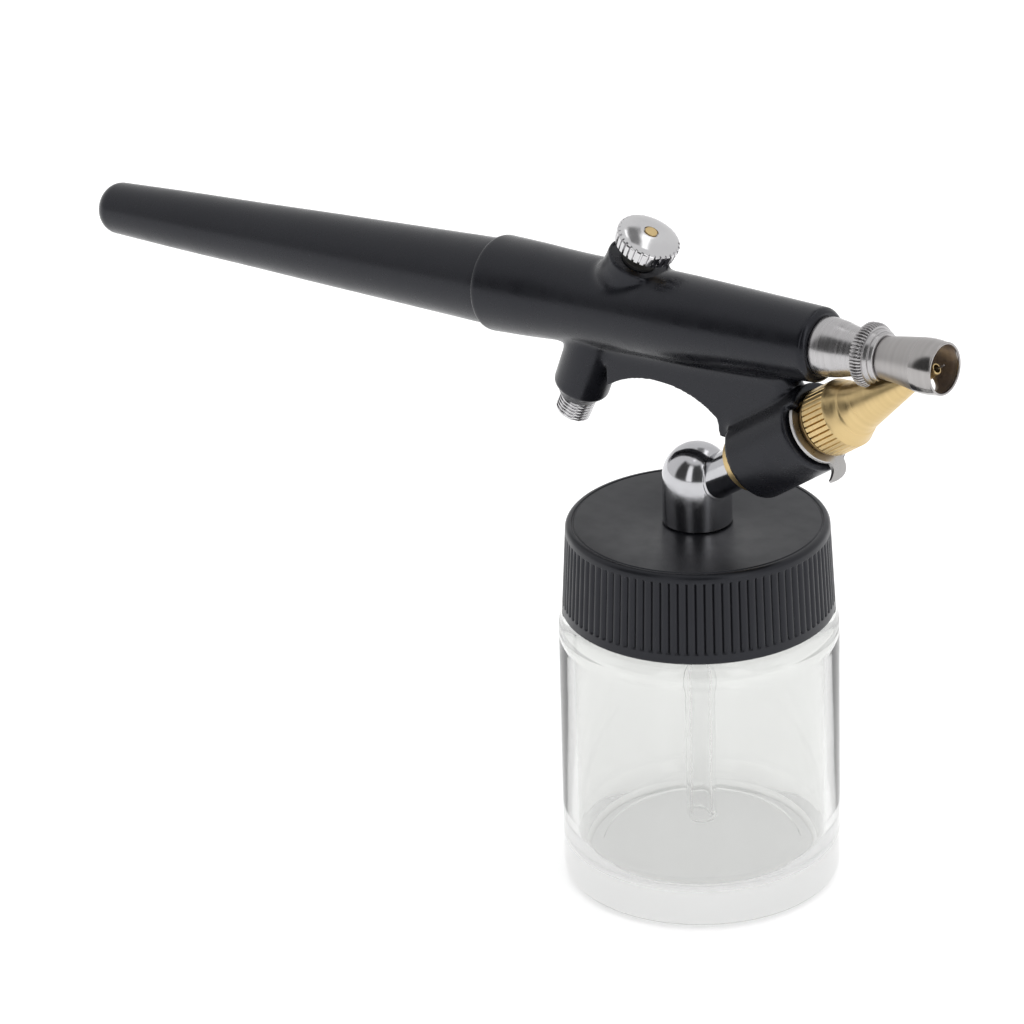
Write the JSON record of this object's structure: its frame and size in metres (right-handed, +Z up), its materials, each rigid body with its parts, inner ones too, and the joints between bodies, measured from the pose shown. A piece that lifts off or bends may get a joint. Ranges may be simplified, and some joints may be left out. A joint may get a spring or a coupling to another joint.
{
  "type": "airbrush gun",
  "caption": "Single-action, external-mix airbrush gun with a tapered handle, finger button, knurled nose, brass paint tip and a push-fit glass siphon jar.",
  "frame": {"origin": "centre of the jar's base, on the surface the airbrush stands on", "axes": "+Z up along the jar's axis, +X towards the nose, with the gun's plane of symmetry in XZ"},
  "size_m": [0.1462, 0.038, 0.0935],
  "materials": {
    "black_plastic": "moulded, satin with a fine matt texture",
    "black_cap_plastic": "moulded, satin, finely ribbed",
    "chrome": "bright plated, lightly turned",
    "brass": "bare, turned",
    "steel": "bright stainless",
    "glass": "clear, smooth",
    "clear_tube": "translucent, extruded",
    "rubber": "moulded",
    "liner": "soft closed-cell foam",
    "nylon": "natural nylon"
  },
  "bodies": {
    "jar": {"bottle": "glass"},
    "pickup": {"elbow_body": "chrome", "feed_stub": "chrome", "cap_washer": "nylon", "elbow_nut": "brass", "siphon_tube": "clear_tube"},
    "cap": {"jar_cap": "black_cap_plastic", "cap_liner": "liner"},
    "gun": {"gun_body": "black_plastic", "nose_head": "chrome", "nose_seal": "rubber", "lock_ring": "chrome", "air_jet": "brass", "air_cap": "chrome", "valve_sleeve": "chrome", "valve_spring": "steel", "spring_retainer": "brass", "rod_packing": "rubber", "button_bush": "black_plastic", "tip_base": "brass", "stub_seal": "rubber", "retaining_clip": "steel", "fluid_needle": "steel"},
    "handle": {"handle": "black_plastic"},
    "button": {"finger_button": "chrome", "valve_rod": "brass", "valve_washer": "rubber"},
    "tip_collar": {"tip_seal": "rubber"},
    "paint_tip": {"paint_tip": "brass"}
  },
  "joints": [
    {"name": "jar_lift", "type": "slide", "parent": "jar", "child": "pickup", "axis": [0, 0, 1], "range_m": [0, 0.006]},
    {"name": "cap_turn", "type": "hinge", "parent": "pickup", "child": "cap", "pos_m": [0, 0, 0.052], "axis": [0, 0, 1], "range_deg": [0, 540]},
    {"name": "gun_swivel", "type": "hinge", "parent": "pickup", "child": "gun", "pos_m": [0, 0, 0.05729], "axis": [0.8226, 0, 0.5686], "range_deg": [-45, 45]},
    {"name": "handle_pull", "type": "slide", "parent": "gun", "child": "handle", "axis": [-0.997, 0, -0.078], "range_m": [0, 0.0085]},
    {"name": "button_press", "type": "slide", "parent": "gun", "child": "button", "axis": [-0.4309, 0, -0.9024], "range_m": [0, 0.0012], "stiffness_N_per_m": 1200, "springref_m": -0.0015, "deforming": ["valve_spring"]},
    {"name": "tip_advance", "type": "slide", "parent": "gun", "child": "tip_collar", "axis": [0.8226, 0, 0.5686], "range_m": [0, 0.0005]},
    {"name": "tip_turn", "type": "hinge", "parent": "tip_collar", "child": "paint_tip", "pos_m": [0, 0, 0.05729], "axis": [0.8226, 0, 0.5686], "range_deg": [0, 257.14]}
  ],
  "couplings": [
    {"joint": "cap_turn", "follows": "jar_lift", "rad_per_m": 1570.8},
    {"joint": "tip_turn", "follows": "tip_advance", "rad_per_m": 8976}
  ]
}
